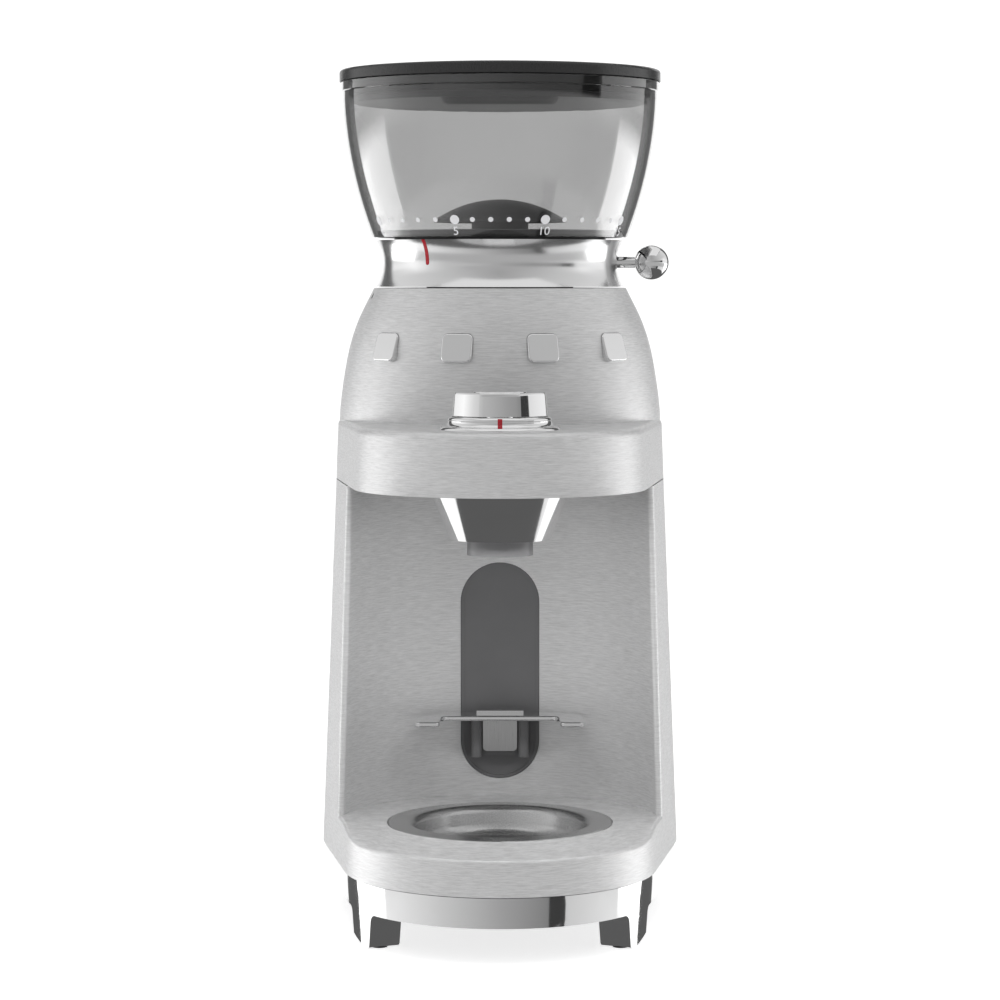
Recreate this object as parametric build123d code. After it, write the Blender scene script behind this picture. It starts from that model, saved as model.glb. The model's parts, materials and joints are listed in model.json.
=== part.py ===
from build123d import *

# Burr coffee grinder, retro shape, as an assembly of its separate pieces.
#
# Millimetres, +Z up. The origin is the middle of the footprint on the worktop,
# -Y is the front (knob, spout, fork) and +X is the user's right (lever).
#
# In plan the housing is the hull of two circles: a small nose circle in front,
# centred on the spout axis, and a larger rear circle behind it. A round bay is
# cut into it round the spout axis, which leaves a base, a crescent column and an
# overhanging head. The bean hopper, the adjusting collar, the burrs and the
# output gear share the grinding axis, a little behind the middle.

import math
import os

os.makedirs("parts", exist_ok=True)

# Axes (plan positions)
SPOUT_Y = -43.0  # nose circle, spout, dish and bay
GRIND_Y = 24.0  # hopper, collar, burrs and output gear
KNOB_Y = -73.0
MOTOR_Y = 72.0

# Levels
FOOT_Z = 0.6  # lowest point of the chrome feet, just above the worktop
BAND_Z0 = 16.0
BAND_Z1 = 29.2
BASE_Z0 = 29.6
RIM_Z = 45.0
FLOOR_Z = 50.0
FLOOR_T = 8.0
COLUMN_Z1 = 197.2
HEAD_Z0 = 197.8
SHELF_Z = 225.3
HEAD_Z1 = 285.3
COLLAR_Z0 = 285.9
COLLAR_Z1 = 307.0
HOPPER_Z0 = 308.2
HOPPER_Z1 = 378.3
LID_Z0 = 378.9
LID_Z1 = 384.0

# Plan outline: radii of the two circles and the rear centre, at two levels
NOSE_R = (69.2, 64.4)
REAR_R = (82.35, 75.8)
REAR_Y = (29.7, 34.0)
OUTLINE_Z = (29.5, 197.5)
SHELF_NOSE_R = 63.4
SHELF_REAR_R = 74.8
SHELF_ROUND = 3.0
WALL = 2.6
EDGE_ROUND = 1.5

# Dome: level and radius of its round sections, whose centres run back to the rear circle's
DOME = ((222.6, 74.2), (233.5, 73.5), (244.0, 72.0), (255.8, 69.75), (272.4, 64.2), (285.3, 57.7))
DOME_SHIFT = 10.5

# Round bay round the spout axis: its wall leans in towards the ceiling
BAY_Y = -44.0
BAY_R0 = 72.0
BAY_R1 = 70.0

# Dish and the well under it
DISH_RIM_R = 49.5
DISH_SEAT_R = 50.0
WELL_R = 43.0

# Stadium panel in the bay's back wall
PANEL_W = 36.4
PANEL_Z0 = 57.6
PANEL_Z1 = 158.6

# Fork
FORK_TOP = 89.7
FORK_T = 2.4
FORK_ROUND = 0.9
TONGUE_W = 15.8

# Chassis plate, which is the bay's ceiling
CHASSIS_Z0 = 198.0
CHASSIS_Z1 = 201.0

# Gears: module and teeth of the two stages; the idler stands where both stages mesh
PRESSURE = math.radians(25)
BACKLASH = 0.14
M1, PINION1, WHEEL1 = 0.9, 12, 54
M2, PINION2, WHEEL2 = 1.1, 12, 48
C1 = M1 * (PINION1 + WHEEL1) / 2
C2 = M2 * (PINION2 + WHEEL2) / 2
SPAN = MOTOR_Y - GRIND_Y
IDLER_DY = (C2**2 - C1**2 + SPAN**2) / (2 * SPAN)
IDLER_X = math.sqrt(C2**2 - IDLER_DY**2)
IDLER_Y = GRIND_Y + IDLER_DY
STAGE1_Z = (205.5, 211.5)
STAGE2_Z = (213.0, 222.0)
GEARBOX_Z1 = 226.0
COVER_Z1 = 228.6

# Burr chamber and what turns in it
CHAMBER_R = 34.0
CHAMBER_Z0 = 230.0
CHAMBER_Z1 = 282.2
CHAMBER_SCREW_R = 52.0
SHAFT_R = 4.0
BEARING_R = 9.0
BUSH_R = 4.5
FIT = 0.05

# Motor
MOTOR_R = 29.0
MOTOR_Z0 = 104.0
MOTOR_CAP_Z0 = 191.8
MOTOR_SHAFT_R = 3.0

# Selector knob and start button
KNOB_RING_H = 5.7
KNOB_Z0 = 231.4
KNOB_Z1 = 241.2
KNOB_SIDES = 8
KNOB_W = (21.0, 20.1)  # from the axis to a flat, at the foot and at the top
BUTTON_R = 11.8
BUTTON_TRAVEL = 2.0

MIN = (Align.CENTER, Align.CENTER, Align.MIN)


# ---------------------------------------------------------------- helpers
def lerp(pair, t):
    return pair[0] + (pair[1] - pair[0]) * t


def disc(r, z0, z1, x=0.0, y=0.0):
    return Pos(x, y, z0) * Cylinder(r, z1 - z0, align=MIN)


def ring(outer, inner, z0, z1, x=0.0, y=0.0):
    return disc(outer, z0, z1, x, y) - disc(inner, z0 - 1, z1 + 1, x, y)


def cone(r0, r1, z0, z1, x=0.0, y=0.0):
    return Pos(x, y, z0) * Cone(r0, r1, z1 - z0, align=MIN)


def block(x0, x1, y0, y1, z0, z1):
    return Pos((x0 + x1) / 2, (y0 + y1) / 2, (z0 + z1) / 2) * Box(x1 - x0, y1 - y0, z1 - z0)


def turned(points, y=0.0, x=0.0):
    """Solid of revolution about a vertical axis from (radius, z) points."""
    face = make_face(Polyline(*[(r, 0, z) for r, z in points], close=True))
    return Pos(x, y, 0) * revolve(face, Axis.Z)


def turned_edges(edges, y=0.0):
    """Solid of revolution about a vertical axis from a closed chain of edges."""
    return Pos(0, y, 0) * revolve(make_face(edges), Axis.Z)


def side(r, z):
    return (r, 0, z)


def crown(r, z_edge, z_top):
    """Arc from the rim of a spherical cap up to its top on the axis."""
    sphere_r = (r**2 + (z_top - z_edge) ** 2) / (2 * (z_top - z_edge))
    middle = z_top - sphere_r + math.sqrt(sphere_r**2 - (r / 2) ** 2)
    return ThreePointArc(side(r, z_edge), side(r / 2, middle), side(0, z_top))


def around(count, radius, first=0.0, x=0.0, y=0.0):
    """Evenly spaced plan positions on a circle."""
    angles = [math.radians(first + 360 * i / count) for i in range(count)]
    return [(x + radius * math.cos(a), y + radius * math.sin(a)) for a in angles]


def group(solids):
    return Compound(children=list(solids))


def drop_screw(x, y, z_head, length, r=1.5, head_r=2.8, head_h=1.6):
    """Screw with its head on top: z_head is the underside of the head."""
    return disc(head_r, z_head, z_head + head_h, x, y) + disc(r, z_head - length, z_head, x, y)


def save(name, shape):
    shape.label = name
    export_step(shape, f"parts/{name}.step")


def hull(z, nose_r, rear_r, rear_y):
    """Face at level z: the hull of the nose circle and the rear circle."""
    sin_a = (rear_r - nose_r) / (rear_y - SPOUT_Y)
    cos_a = math.sqrt(1 - sin_a**2)
    nose = (nose_r * cos_a, SPOUT_Y - nose_r * sin_a)
    rear = (rear_r * cos_a, rear_y - rear_r * sin_a)
    front = ThreePointArc((-nose[0], nose[1]), (0, SPOUT_Y - nose_r), nose)
    back = ThreePointArc(rear, (0, rear_y + rear_r), (-rear[0], rear[1]))
    edges = [front, Line(nose, rear), back, Line((-rear[0], rear[1]), (-nose[0], nose[1]))]
    return Pos(0, 0, z) * make_face(edges)


def outline(z, inset=0.0):
    """The housing's plan outline at a level below the head."""
    t = (z - OUTLINE_Z[0]) / (OUTLINE_Z[1] - OUTLINE_Z[0])
    return hull(z, lerp(NOSE_R, t) - inset, lerp(REAR_R, t) - inset, lerp(REAR_Y, t))


def tapered(z0, z1, inset0=0.0, inset1=None):
    """Solid between two levels inside the outline, inset by the two amounts."""
    return loft([outline(z0, inset0), outline(z1, inset0 if inset1 is None else inset1)], ruled=True)


def shelf_band(inset, z0, z1):
    """The head's band, between the bay's ceiling and the shelf."""
    sections = []
    for z in (z0, z1):
        t = (z - HEAD_Z0) / (SHELF_Z - HEAD_Z0)
        nose = lerp((NOSE_R[1], SHELF_NOSE_R), t) - inset
        rear = lerp((REAR_R[1], SHELF_REAR_R), t) - inset
        sections.append(hull(z, nose, rear, lerp((REAR_Y[1], GRIND_Y + DOME_SHIFT), t)))
    return loft(sections, ruled=True)


def stadium(width, z0, z1, y0, y1):
    """Upright plate with round ends, lying in the XZ plane."""
    slot = Plane.XZ * SlotOverall(z1 - z0, width, rotation=90)
    return Pos(0, y1, (z0 + z1) / 2) * extrude(slot, y1 - y0)


def bay(extra=0.0, z0=FLOOR_Z):
    """The round bay, wider at the floor than at the ceiling."""
    top = COLUMN_Z1 + 2
    return cone(BAY_R0 + extra, BAY_R1 + extra, z0, top, 0, BAY_Y)


# ---------------------------------------------------------------- lower housing
def slope_section(azimuth, share):
    """Section of what the front slope takes off, in the vertical plane at an azimuth from the front."""
    a = math.radians(azimuth)
    far = 95.0
    drop = (FLOOR_Z - RIM_Z) / (NOSE_R[0] - DISH_SEAT_R) * (far - DISH_SEAT_R) * share
    above = FLOOR_Z + 0.5
    corners = [(DISH_SEAT_R, FLOOR_Z), (far, FLOOR_Z - drop), (far, above), (DISH_SEAT_R, above)]
    points = [(r * math.sin(a), SPOUT_Y - r * math.cos(a), z) for r, z in corners]
    return make_face(Polyline(*points, close=True))


def front_slope():
    """Cone that slopes the base's top from the dish down to the front rim and fades out beside it."""
    fade = (62.0, 88.0)
    axis = Axis((0, SPOUT_Y, 0), (0, 0, 1))
    tool = revolve(slope_section(-fade[0], 1.0), axis, 2 * fade[0])
    for sign in (-1, 1):
        tool += loft([slope_section(sign * fade[0], 1.0), slope_section(sign * fade[1], 0.0)], ruled=True)
    return tool


def is_soft_edge(edge):
    """The column's two upright front edges, and the rim round the front of the base."""
    box = edge.bounding_box()
    middle = edge.position_at(0.5)
    if box.max.Z - box.min.Z > 100:
        return abs(middle.X) > 60 and middle.Y < 0
    on_top = box.min.Z > RIM_Z - 3 and box.max.Z < FLOOR_Z + 1
    off_dish = math.hypot(middle.X, middle.Y - SPOUT_Y) > DISH_SEAT_R + 14
    return on_top and off_dish and middle.Y < BAY_Y + 10.2


FRONT_BOSSES = [(-50.0, -58.0), (50.0, -58.0)]
REAR_BOSSES = [(-60.8, 64.7), (60.8, 64.7)]
BOSS_R = 4.2
BOSS_Z0 = 22.8
BOSS_Z1 = 46.0
COLUMN_BOSSES = [(-60.5, 67.0), (60.5, 67.0), (-24.0, 98.7), (24.0, 98.7)]


def lower_housing():
    """Base and column in one brushed casting."""
    body = tapered(BASE_Z0, COLUMN_Z1) - bay() - front_slope()
    body = fillet([e for e in body.edges() if is_soft_edge(e)], EDGE_ROUND)
    body -= tapered(BASE_Z0 - 1, COLUMN_Z1 + 1, WALL) - bay(WALL, FLOOR_Z - FLOOR_T)
    body -= disc(DISH_SEAT_R, FLOOR_Z - 1.6, FLOOR_Z + 2, 0, SPOUT_Y)
    body -= disc(WELL_R, BASE_Z0 - 1, FLOOR_Z, 0, SPOUT_Y)
    body -= stadium(PANEL_W, PANEL_Z0, PANEL_Z1, 15, 40)
    body -= back_rod(7.0, 80, 120)
    skin = tapered(BASE_Z0, COLUMN_Z1, 0.8)
    for x, y in FRONT_BOSSES:
        body += disc(BOSS_R, BOSS_Z0, FLOOR_Z - 5, x, y)
    for x, y in REAR_BOSSES:
        column = disc(BOSS_R, BOSS_Z0, BOSS_Z1, x, y)
        outward = math.degrees(math.atan2(y - REAR_Y[0], x))
        web = Pos(x * 1.08, REAR_Y[0] + (y - REAR_Y[0]) * 1.08, 38) * Rot(0, 0, outward) * Box(16, 3, 14)
        body += column + web & (skin + column)
    for x, y in FRONT_BOSSES + REAR_BOSSES:
        body -= disc(1.6, BOSS_Z0 - 1, BOSS_Z0 + 14, x, y)
    for x, y in COLUMN_BOSSES:
        body += disc(5.4, 182, COLUMN_Z1, x, y) & skin
        body -= disc(1.6, 184, COLUMN_Z1 + 1, x, y)
    return body


def dish_well():
    """Plastic cup under the dish, with a flange against the underside of the floor."""
    under = FLOOR_Z - FLOOR_T - 0.1
    cup = ring(WELL_R - 0.3, WELL_R - 1.9, 34.0, FLOOR_Z - 1.8, 0, SPOUT_Y)
    base = disc(WELL_R - 0.3, 32.4, 34.0, 0, SPOUT_Y)
    flange = ring(WELL_R + 3.0, WELL_R - 0.3, under - 1.6, under, 0, SPOUT_Y)
    return cup + base + flange


# ---------------------------------------------------------------- foot band and underside
BAND_T = 2.2
BAND_LEAN = 0.1  # how much the band and feet draw in per millimetre of height
FOOT_AZIMUTH = 66.3  # from the front, about the nose centre
FOOT_HALF = 8.6
FOOT_DEPTH = 14.0
FOOT_FILLET = 2.5  # where the foot's outer side meets the band
PAD_R = 3.4
PAD_Z1 = 2.6
FLANGE_Z = 26.6
FLANGE_W = 5.6


def band_skin(z0, z1, extra):
    return tapered(z0, z1, 0.8 + BAND_LEAN * (BAND_Z1 - z0) + extra, 0.8 + BAND_LEAN * (BAND_Z1 - z1) + extra)


def foot_frames():
    """Plane of each foot: its centre of azimuth in plan, x along the skin and z up."""
    frames = []
    for sign in (-1, 1):
        a = math.radians(FOOT_AZIMUTH)
        frames.append((0, SPOUT_Y, sign * math.sin(a), -math.cos(a), -sign))
        b = math.radians(52.0)
        frames.append((0, REAR_Y[0], sign * math.sin(b), math.cos(b), sign))
    return frames


def foot_profile():
    """Foot seen from outside: an upright outer side, a slanting inner one, and a sole that rises outward."""
    top = BAND_Z0 + 1.0
    w = FOOT_HALF
    f = FOOT_FILLET
    c = f * (1 - math.sqrt(0.5))
    return make_face(
        [
            Line((-w - f, top, 0), (w + 7, top, 0)),
            Line((w + 7, top, 0), (w + 7, BAND_Z0, 0)),
            ThreePointArc((w + 7, BAND_Z0, 0), (w + 4.5, BAND_Z0 - 0.9, 0), (w + 3.2, BAND_Z0 - 3.2, 0)),
            Line((w + 3.2, BAND_Z0 - 3.2, 0), (w + 0.6, FOOT_Z + 1.4, 0)),
            ThreePointArc((w + 0.6, FOOT_Z + 1.4, 0), (w - 0.1, FOOT_Z + 0.4, 0), (w - 1.4, FOOT_Z, 0)),
            Line((w - 1.4, FOOT_Z, 0), (w - 5, FOOT_Z, 0)),
            Line((w - 5, FOOT_Z, 0), (-w, FOOT_Z + 3.6, 0)),
            Line((-w, FOOT_Z + 3.6, 0), (-w, BAND_Z0 - f, 0)),
            ThreePointArc((-w, BAND_Z0 - f, 0), (-w - c, BAND_Z0 - c, 0), (-w - f, BAND_Z0, 0)),
            Line((-w - f, BAND_Z0, 0), (-w - f, top, 0)),
        ]
    )


def foot_plane(x, y, ux, uy, turn):
    """Upright plane whose normal points outward; its x axis follows the skin towards the middle."""
    along = Vector(-uy * turn, ux * turn, 0)
    normal = along.cross(Vector(0, 0, 1))
    return Plane(origin=(x, y, 0), x_dir=along, z_dir=normal)


def foot_band():
    """Chromed band that the housing stands on, with its four feet, cut from one leaning block."""
    keep = block(-100, 100, -130, 130, BAND_Z0, BAND_Z1 + 1)
    for frame in foot_frames():
        prism = extrude(foot_plane(*frame) * foot_profile(), 100, both=True)
        keep += prism & Pos(frame[0] + frame[2] * 60, frame[1] + frame[3] * 60, 8) * Cylinder(32, 40)
    body = band_skin(FOOT_Z - 0.5, BAND_Z1, 0) & keep
    body -= band_skin(FOOT_Z - 1, BAND_Z0 + 0.5, FOOT_DEPTH)
    body -= band_skin(BAND_Z0, FLANGE_Z, BAND_T)
    body -= band_skin(FLANGE_Z - 0.5, BAND_Z1 + 1, FLANGE_W)
    for x, y in pad_places():
        body -= disc(PAD_R + FIT, FOOT_Z - 1, PAD_Z1, x, y)
    return body


def pad_places():
    places = []
    for x, y, ux, uy, turn in foot_frames():
        radius = (NOSE_R[0] if uy < 0 else REAR_R[0]) - 3.5 - 6.5
        shift = 4.6
        places.append((x + ux * radius - uy * turn * shift, y + uy * radius + ux * turn * shift))
    return places


def foot_pads():
    return group(disc(PAD_R, 0, PAD_Z1 - FIT, x, y) for x, y in pad_places())


def bottom_cover():
    """Underside plate with a raised rim against the band's flange, vent slots and screw holes."""
    plate = tapered(20.2, 22.4, 6.2) + (tapered(22.4, 26.5, 6.2) - tapered(22, 27, 7.5))
    for i in range(-4, 5):
        plate -= block(i * 9 - 2, i * 9 + 2, 26, 62, 19, 24)
    for x, y in FRONT_BOSSES + REAR_BOSSES:
        plate -= disc(1.7, 19, 27, x, y)
    return plate


def base_screws():
    screws = []
    for x, y in FRONT_BOSSES + REAR_BOSSES:
        screws.append(disc(3.0, 18.4, 20.1, x, y) + disc(1.5, 20.1, BOSS_Z0 + 12, x, y))
    return group(screws)


GLAND_X = 30.0
GLAND_Z = 44.0


def back_rod(r, y0, y1):
    """Horizontal cylinder along Y on the gland's axis."""
    return Pos(GLAND_X, (y0 + y1) / 2, GLAND_Z) * Rot(90, 0, 0) * Cylinder(r, y1 - y0)


def cord_gland():
    """Gland at the back that a mains cord passes through."""
    return back_rod(6.9, 98, 109.6) + back_rod(9.0, 96, 98) - back_rod(3.6, 90, 120)


# ---------------------------------------------------------------- back panel and fork
def back_panel():
    """Curved dark panel that fills the stadium opening, with a raised border."""
    whole = stadium(PANEL_W - 0.5, PANEL_Z0 + 0.25, PANEL_Z1 - 0.25, 15, 40)
    inside = stadium(PANEL_W - 3.1, PANEL_Z0 + 1.55, PANEL_Z1 - 1.55, 15, 40)
    plate = (bay(2.4) - bay(0.7)) & whole
    plate += (bay(2.4) - bay(0.2)) & (whole - inside)
    lip = (bay(4.6) - bay(WALL + 0.1)) & stadium(PANEL_W + 6, PANEL_Z0 - 3, PANEL_Z1 + 3, 15, 40)
    link = (bay(3.0) - bay(1.0)) & stadium(PANEL_W - 3, PANEL_Z0 + 1.5, PANEL_Z1 - 1.5, 15, 40)
    return plate + link + lip


def fork_socket():
    """Two round-fronted posts that hold the fork's tongue, on a bridge against the panel."""
    posts = block(-13.2, -8.5, 18.4, 27.0, 68.9, 86.3) + block(8.5, 13.2, 18.4, 27.0, 68.9, 86.3)
    bridge = block(-13.2, 13.2, 24.6, 26.6, 68.9, 86.3)
    grooves = block(-9.4, 9.4, 21.0, 23.6, 68.0, 87.0)
    pegs = block(-3, 3, 26.0, 28.2, 74, 82)
    return fillet((posts + bridge).edges().filter_by(Axis.Z).group_by(Axis.Y)[0], 2.2) - grooves + pegs


def fork_outline():
    """Half of the fork's plan outline; its back follows the bay's wall, and the notch opens to the front."""
    back = GRIND_Y
    near_wall = BAY_R1 + 0.7
    turn = [math.radians(a) for a in (15.9, 22.0, 28.0)]
    wall = [(near_wall * math.sin(a), BAY_Y + near_wall * math.cos(a)) for a in turn]
    return make_face(
        [
            Line((0, back), wall[0]),
            ThreePointArc(*wall),
            ThreePointArc(wall[2], (37.1, back - 9.6), (38.5, back - 14)),
            Line((38.5, back - 14), (38.9, back - 33)),
            ThreePointArc((38.9, back - 33), (38.2, back - 35.6), (36.4, back - 36.5)),
            Line((36.4, back - 36.5), (30.0, back - 36.5)),
            ThreePointArc((30.0, back - 36.5), (28.1, back - 35.8), (27.4, back - 34)),
            Line((27.4, back - 34), (26.8, back - 20.5)),
            ThreePointArc((26.8, back - 20.5), (25.63, back - 17.67), (22.8, back - 16.5)),
            Line((22.8, back - 16.5), (0, back - 16.5)),
            Line((0, back - 16.5), (0, back)),
        ]
    )


def fork():
    """Chromed fork that carries a filter holder: a bar with two prongs and a raised plate at its back."""
    half = extrude(fork_outline(), FORK_T)
    body = half + mirror(half, Plane.YZ)
    body = Pos(0, 0, FORK_TOP - FORK_T) * fillet(body.edges().filter_by(Plane.XY), FORK_ROUND)
    return body + block(-10.8, 10.8, GRIND_Y - 8.0, GRIND_Y - 0.5, FORK_TOP - 1, FORK_TOP + 1.2)


def fork_tongue():
    """Steel tongue under the fork, which slides down between the posts."""
    z0 = 71.4
    plate = block(-TONGUE_W / 2, TONGUE_W / 2, 21.3, 23.3, z0, FORK_TOP - FORK_T - 0.02)
    lower = plate.edges().filter_by(Axis.Y).group_by(Axis.Z)[0]
    return fillet(lower, 2.0)


# ---------------------------------------------------------------- dish
def dish():
    """Bright ring with a bowl in it, which lifts out of the base."""
    top = FLOOR_Z + 0.3
    rim = DISH_RIM_R
    edges = [
        Line(side(0, 37.2), side(30, 37.2)),
        ThreePointArc(side(30, 37.2), side(34.6, 38.9), side(36.8, 43.2)),
        Line(side(36.8, 43.2), side(37.6, 47.2)),
        ThreePointArc(side(37.6, 47.2), side(38.9, 49.2), side(41.2, top)),
        Line(side(41.2, top), side(rim - 0.6, top - 0.2)),
        ThreePointArc(side(rim - 0.6, top - 0.2), side(rim - 0.1, top - 0.5), side(rim, top - 0.9)),
        Line(side(rim, top - 0.9), side(rim, FLOOR_Z - 1.5)),
        Line(side(rim, FLOOR_Z - 1.5), side(39.4, FLOOR_Z - 1.5)),
        Line(side(39.4, FLOOR_Z - 1.5), side(38.0, 43.0)),
        ThreePointArc(side(38.0, 43.0), side(35.5, 38.0), side(30.2, 36.0)),
        Line(side(30.2, 36.0), side(0, 36.0)),
        Line(side(0, 36.0), side(0, 37.2)),
    ]
    return turned_edges(edges, SPOUT_Y)


# ---------------------------------------------------------------- head
TILE_AZIMUTHS = (-47.0, -15.8, 15.8, 47.0)
TILE_Z = 259.0
TILE = (14.0, 13.0, 2.6)
RING_INNER_R = 47.5


def dome_shift(z):
    return DOME_SHIFT * (HEAD_Z1 - z) / (HEAD_Z1 - SHELF_Z)


def dome(inset, z_top=None):
    """Lofted dome of round sections; the inset makes the inner surface."""
    sections = [Pos(0, GRIND_Y + dome_shift(z), z) * Circle(r - inset) for z, r in DOME]
    body = loft(sections)
    return body if z_top is None else body & block(-100, 100, -100, 140, 150, z_top)


def tile_frames():
    """Plane of each badge tile, on the dome's skin with its normal outward."""
    slope = math.radians(17.5)
    r = 68.8
    cy = GRIND_Y + dome_shift(TILE_Z)
    for azimuth in TILE_AZIMUTHS:
        a = math.radians(azimuth)
        normal = Vector(math.sin(a) * math.cos(slope), -math.cos(a) * math.cos(slope), math.sin(slope))
        along = Vector(math.cos(a), math.sin(a), 0)
        yield Plane(origin=(r * math.sin(a), cy - r * math.cos(a), TILE_Z), x_dir=along, z_dir=normal)


def tile(plane, grow=0.0):
    w, h, t = TILE
    plate = extrude(RectangleRounded(w + grow, h + grow, 2.6), t)
    if not grow:
        plate = fillet(plate.edges().group_by(Axis.Z)[-1], 0.6)
    return plane * Pos(0, 0, -1.1) * plate


def head_shell():
    """Head in one brushed casting: band, shelf and dome, open underneath."""
    band = shelf_band(0, HEAD_Z0, SHELF_Z)
    band = fillet(band.edges().group_by(Axis.Z)[-1], SHELF_ROUND)
    body = band + dome(0)
    body -= shelf_band(WALL, HEAD_Z0 - 1, SHELF_Z - WALL)
    body -= dome(WALL, HEAD_Z1 - 3.0)
    body -= disc(RING_INNER_R, HEAD_Z1 - 6, HEAD_Z1 + 1, 0, GRIND_Y)
    body -= disc(7.0, SHELF_Z - 6, SHELF_Z + 2, 0, KNOB_Y)
    for x, y in around(4, CHAMBER_SCREW_R, 45, 0, GRIND_Y):
        body -= disc(1.6, HEAD_Z1 - 4, HEAD_Z1 + 1, x, y) + disc(3.0, HEAD_Z1 - 1.9, HEAD_Z1 + 1, x, y)
    for plane in tile_frames():
        body -= tile(plane, 0.2)
    return body


def badge_tiles():
    return group(tile(plane) for plane in tile_frames())


def chassis_plate():
    """Cast plate that closes the head underneath and carries the drive."""
    plate = tapered(CHASSIS_Z0, CHASSIS_Z1, WALL + 0.5)
    plate += disc(BEARING_R + 2.5, CHASSIS_Z1, 204.6, 0, GRIND_Y)
    plate -= disc(BEARING_R + FIT, CHASSIS_Z1 + 0.2, 206, 0, GRIND_Y)
    plate += disc(BUSH_R + 2, CHASSIS_Z1, 204.6, IDLER_X, IDLER_Y)
    plate -= disc(BUSH_R + FIT, CHASSIS_Z1 + 0.2, 206, IDLER_X, IDLER_Y)
    plate -= disc(8.0, 190, 206, 0, MOTOR_Y)
    plate -= disc(14.8, 190, 206, 0, SPOUT_Y)
    for x, y in COLUMN_BOSSES + motor_screw_places() + funnel_screw_places():
        plate -= disc(1.6, 190, 206, x, y)
    return plate


def motor_screw_places():
    return around(2, 22, 0, 0, MOTOR_Y)


def funnel_screw_places():
    return around(2, 26, 0, 0, SPOUT_Y)


def column_screws():
    places = COLUMN_BOSSES + motor_screw_places() + funnel_screw_places()
    lengths = [14] * len(COLUMN_BOSSES) + [8] * 2 + [4.4] * 2
    return group(drop_screw(x, y, CHASSIS_Z1 + 0.05, length) for (x, y), length in zip(places, lengths))


# ---------------------------------------------------------------- spout side
def funnel():
    """Chromed cone under the head, open round the spout."""
    outer = cone(22.2, 31.4, 175.6, 197.6, 0, SPOUT_Y)
    inner = cone(20.9, 30.1, 177.2, 197.7, 0, SPOUT_Y)
    flange = ring(31.0, 20.0, 196.0, 197.9, 0, SPOUT_Y)
    lip = ring(22.0, 15.0, 175.6, 177.4, 0, SPOUT_Y)
    body = outer - inner + flange + lip - disc(15.0, 170, 178, 0, SPOUT_Y)
    for x, y in funnel_screw_places():
        body -= disc(1.45 + FIT, 190, 199, x, y)
    return body


def spout():
    """Dark outlet tube inside the funnel."""
    return ring(14.5, 12.6, 168.5, 203.0, 0, SPOUT_Y)


def side_plate(points, half_width):
    """Upright solid from (y, z) points, centred across X."""
    face = make_face(Polyline(*[(0, y, z) for y, z in points], close=True))
    return extrude(face, half_width, both=True, dir=(1, 0, 0))


def chute():
    """Duct that leads the grounds from the chamber's side down to the spout."""
    back_outer = [(-8, 229.5), (-8, 246), (-32, 246), (-35.0, 221)]
    front_outer = [(-57.6, 219.5), (-57.6, 203.2), (-28.4, 203.2), (-26, 209)]
    back_inner = [(-4, 234), (-4, 244.2), (-30.4, 244.2), (-33.4, 219.2)]
    front_inner = [(-55.8, 217.8), (-55.8, 202), (-30.2, 202), (-27.6, 210)]
    outer = side_plate(back_outer + front_outer, 14.6)
    inner = side_plate(back_inner + front_inner, 12.6)
    return outer - inner - disc(CHAMBER_R + 3.2, 220, 260, 0, GRIND_Y)


# ---------------------------------------------------------------- grinding chamber
def burr_chamber():
    """Cup round the burrs, hung from the ring at the top of the dome."""
    wall = ring(CHAMBER_R + 3, CHAMBER_R, CHAMBER_Z0, CHAMBER_Z1, 0, GRIND_Y)
    floor = disc(CHAMBER_R + 3, CHAMBER_Z0, CHAMBER_Z0 + 3, 0, GRIND_Y)
    boss = disc(BEARING_R + 2.5, CHAMBER_Z0 - 0.8, 234.4, 0, GRIND_Y)
    flange = ring(55.0, CHAMBER_R, CHAMBER_Z1 - 2.6, CHAMBER_Z1, 0, GRIND_Y)
    body = wall + floor + boss + flange
    body -= disc(BEARING_R + FIT, CHAMBER_Z0 + 0.2, 240, 0, GRIND_Y) + disc(5.2, 220, 240, 0, GRIND_Y)
    body -= block(-12.0, 12.0, -16, 4, 234.4, 245)
    for x, y in around(4, CHAMBER_SCREW_R, 45, 0, GRIND_Y):
        body -= disc(1.45 + FIT, 270, 290, x, y)
    return body


def chamber_screws():
    places = around(4, CHAMBER_SCREW_R, 45, 0, GRIND_Y)
    return group(drop_screw(x, y, HEAD_Z1 - 1.85, 5.6, 1.45, 2.8, 1.5) for x, y in places)


def shaft_bearings():
    """The two ball bearings of the burr shaft, as plain rings."""
    low = ring(BEARING_R, SHAFT_R + FIT, CHASSIS_Z1 + 0.25, 204.5, 0, GRIND_Y)
    high = ring(BEARING_R, SHAFT_R + FIT, CHAMBER_Z0 + 0.25, 234.2, 0, GRIND_Y)
    return group([low, high])


def idler_bushes():
    low = ring(BUSH_R, MOTOR_SHAFT_R + FIT, CHASSIS_Z1 + 0.25, 204.5, IDLER_X, IDLER_Y)
    high = ring(BUSH_R, MOTOR_SHAFT_R + FIT, GEARBOX_Z1 + 0.3, COVER_Z1, IDLER_X, IDLER_Y)
    return group([low, high])


def ring_burr():
    """Fixed burr: a ring with a conical mouth and cutting grooves."""
    body = turned([(23.0, 250), (29.0, 250), (29.0, 264), (22.0, 264), (21.4, 258)], GRIND_Y)
    for i in range(24):
        groove = Pos(22.6, 0, 257) * Rot(0, 0, 24) * Box(3.0, 1.2, 16)
        body -= Pos(0, GRIND_Y, 0) * Rot(0, 0, 15 * i) * groove
    return body


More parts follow.
